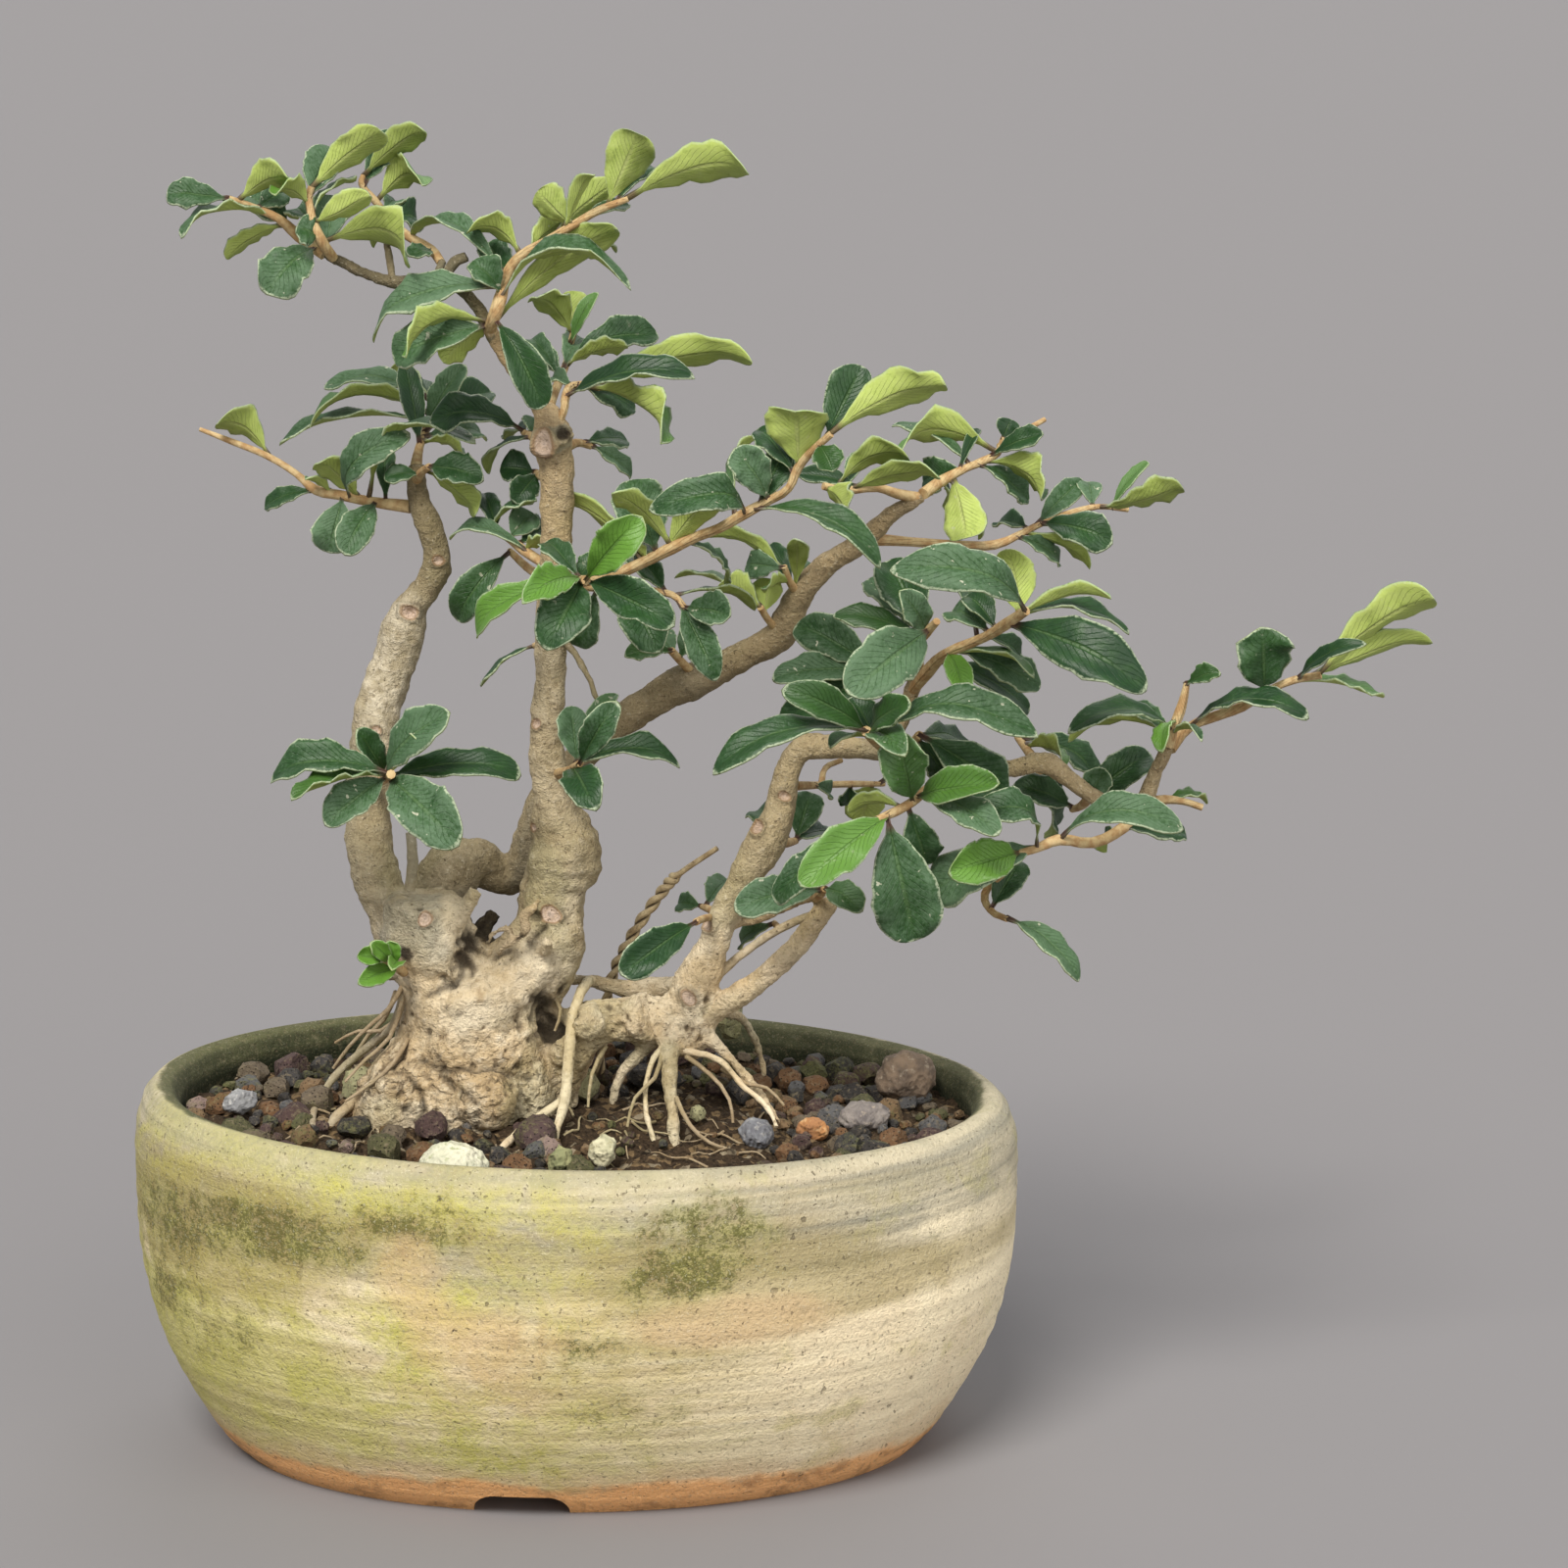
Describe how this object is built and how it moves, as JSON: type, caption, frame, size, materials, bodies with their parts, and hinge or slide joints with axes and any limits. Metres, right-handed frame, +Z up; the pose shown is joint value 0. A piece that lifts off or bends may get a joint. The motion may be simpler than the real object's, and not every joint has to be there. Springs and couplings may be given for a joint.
{
  "type": "wild privet bonsai",
  "caption": "Bonsai of wild privet with crooked trunks, bare arching roots and leafy shoots, growing in gritty soil in an oval hand-made clay pot.",
  "frame": {"origin": "middle of the box round the whole plant, on the surface that the pot's foot stands on", "axes": "+Z up the trunks, +X to the right in the picture, where the longest shoot reaches, +Y away from the picture's viewpoint"},
  "size_m": [0.2611, 0.1348, 0.2684],
  "materials": {
    "pot_clay": "unglazed beige clay with green algae and throwing lines",
    "drain_mesh": "dark plastic mesh",
    "soil": "dark peat and mixed coarse grit",
    "bark": "rough pale bark",
    "dry_stem": "dry twisted stem",
    "stone_pale": "pale rough stone",
    "stone_coloured": "brown, grey and orange rough stone",
    "leaf": "leathery leaf with a soft sheen"
  },
  "bodies": {
    "root": {"pot": "pot_clay", "drain_screen_left": "drain_mesh", "drain_screen_right": "drain_mesh", "soil_with_grit": "soil", "tree_wood": "bark", "twisted_dry_stem": "dry_stem", "stone_white_front": "stone_pale", "stone_mossy_front": "stone_pale", "stone_pale_front": "stone_pale", "stone_orange_right": "stone_coloured", "stone_grey_right": "stone_coloured", "stone_blue_right": "stone_coloured", "stone_brown_back_right": "stone_coloured", "stone_grey_left": "stone_coloured", "shoot_top_left_outer": "leaf", "shoot_top_left_upright": "leaf", "shoot_top_left_inner": "leaf", "shoot_crown_tip": "leaf", "shoot_crown_back": "leaf", "shoot_crown_right": "leaf", "shoot_left_high": "leaf", "shoot_left_reach": "leaf", "shoot_left_top": "leaf", "shoot_knob": "leaf", "shoot_stem_upper_left": "leaf", "shoot_stem_upper_right": "leaf", "shoot_left_middle": "leaf", "shoot_left_droop": "leaf", "shoot_stem_narrow": "leaf", "shoot_centre": "leaf", "shoot_centre_right": "leaf", "shoot_third_low": "leaf", "shoot_third_mid": "leaf", "shoot_third_upper": "leaf", "shoot_A": "leaf", "shoot_C": "leaf", "shoot_upper_right": "leaf", "shoot_far_right_upper": "leaf", "shoot_right_front": "leaf", "shoot_mid_right": "leaf", "shoot_mid_right_back": "leaf", "shoot_front_low": "leaf", "shoot_hanging_mid": "leaf", "shoot_right_tip": "leaf", "shoot_right_reach": "leaf", "shoot_right_low": "leaf", "shoot_right_mid": "leaf", "shoot_right_mid_low": "leaf", "shoot_right_pale": "leaf", "shoot_lower_right": "leaf", "shoot_low_branch_end": "leaf", "shoot_low_branch_leaf": "leaf", "shoot_right_stem_front": "leaf", "shoot_right_stem_back": "leaf", "shoot_right_joint_back": "leaf", "shoot_right_twigs_back": "leaf", "shoot_left_low": "leaf", "shoot_centre_low": "leaf", "basal_shoot": "leaf"}
  },
  "joints": []
}
